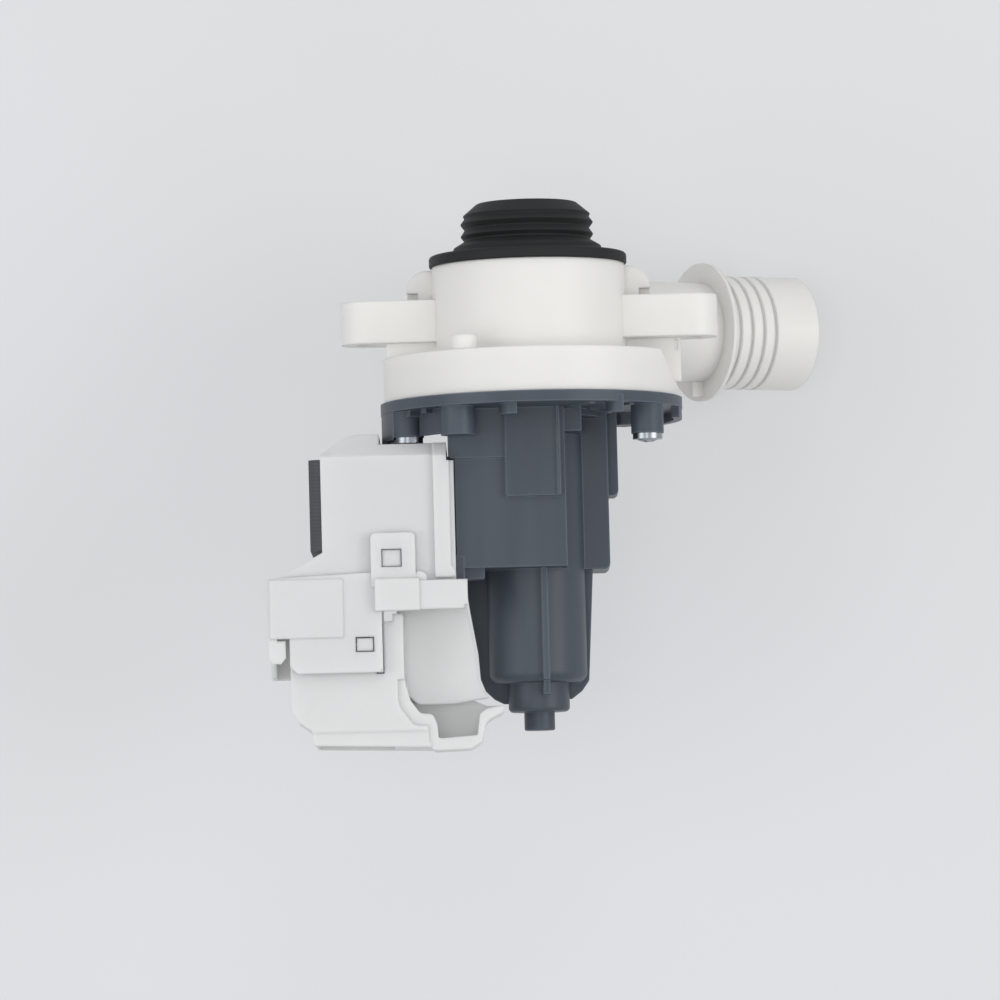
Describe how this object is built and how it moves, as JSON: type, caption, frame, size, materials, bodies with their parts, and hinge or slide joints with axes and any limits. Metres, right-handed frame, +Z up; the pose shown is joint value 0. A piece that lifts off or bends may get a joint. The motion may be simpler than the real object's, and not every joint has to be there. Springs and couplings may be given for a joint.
{
  "type": "washer drain pump",
  "caption": "Upright washer drain pump with a rubber bellows inlet, side outlet spout, two mounting ears, a wet rotor in a sealed can and a clip-on side stator with covers.",
  "frame": {"origin": "on the shaft axis, in the plane of the upper faces of the two mounting ears", "axes": "+Z up through the inlet along the shaft, +X towards the outlet's side, +Y away from the pictured front"},
  "size_m": [0.1533, 0.1144, 0.149],
  "materials": {
    "white_plastic": "moulded warm white",
    "cool_plastic": "moulded cool white",
    "gray_plastic": "moulded slate gray",
    "bobbin_plastic": "moulded natural",
    "black_rubber": "moulded matt black",
    "bearing_black": "carbon filled",
    "zinc_steel": "zinc plated",
    "shaft_steel": "ground",
    "lamination_steel": "dark stacked sheets",
    "ferrite": "sintered",
    "copper_wire": "enamelled copper"
  },
  "bodies": {
    "pump_body": {"volute_housing": "white_plastic", "inlet_boot": "black_rubber", "volute_gasket": "black_rubber", "housing_screws": "zinc_steel", "motor_housing": "gray_plastic", "front_bearing": "bearing_black", "bearing_carrier": "gray_plastic", "shaft_seal": "black_rubber", "rear_bearing": "bearing_black", "rear_bearing_cup": "black_rubber", "thrust_washers": "shaft_steel", "stator_core": "lamination_steel", "stator_pins": "zinc_steel", "bobbin_front": "bobbin_plastic", "bobbin_rear": "bobbin_plastic", "winding_front": "copper_wire", "winding_rear": "copper_wire", "thermal_cutout": "bearing_black", "terminal_block": "gray_plastic", "terminal_tabs": "zinc_steel", "lead_links": "copper_wire", "coil_cover": "cool_plastic", "clip_collar": "cool_plastic", "terminal_shroud": "cool_plastic"},
    "impeller_unit": {"impeller": "white_plastic", "impeller_shaft": "shaft_steel", "drive_dog": "gray_plastic"},
    "magnet_unit": {"magnet_carrier": "white_plastic", "rotor_magnet": "ferrite"}
  },
  "joints": [
    {"name": "shaft_spin", "type": "hinge", "parent": "pump_body", "child": "impeller_unit", "pos_m": [0, 0, 0], "axis": [0, 0, 1], "continuous": true},
    {"name": "magnet_free_turn", "type": "hinge", "parent": "impeller_unit", "child": "magnet_unit", "pos_m": [0, 0, -0.055], "axis": [0, 0, 1], "range_deg": [-80, 80]}
  ]
}
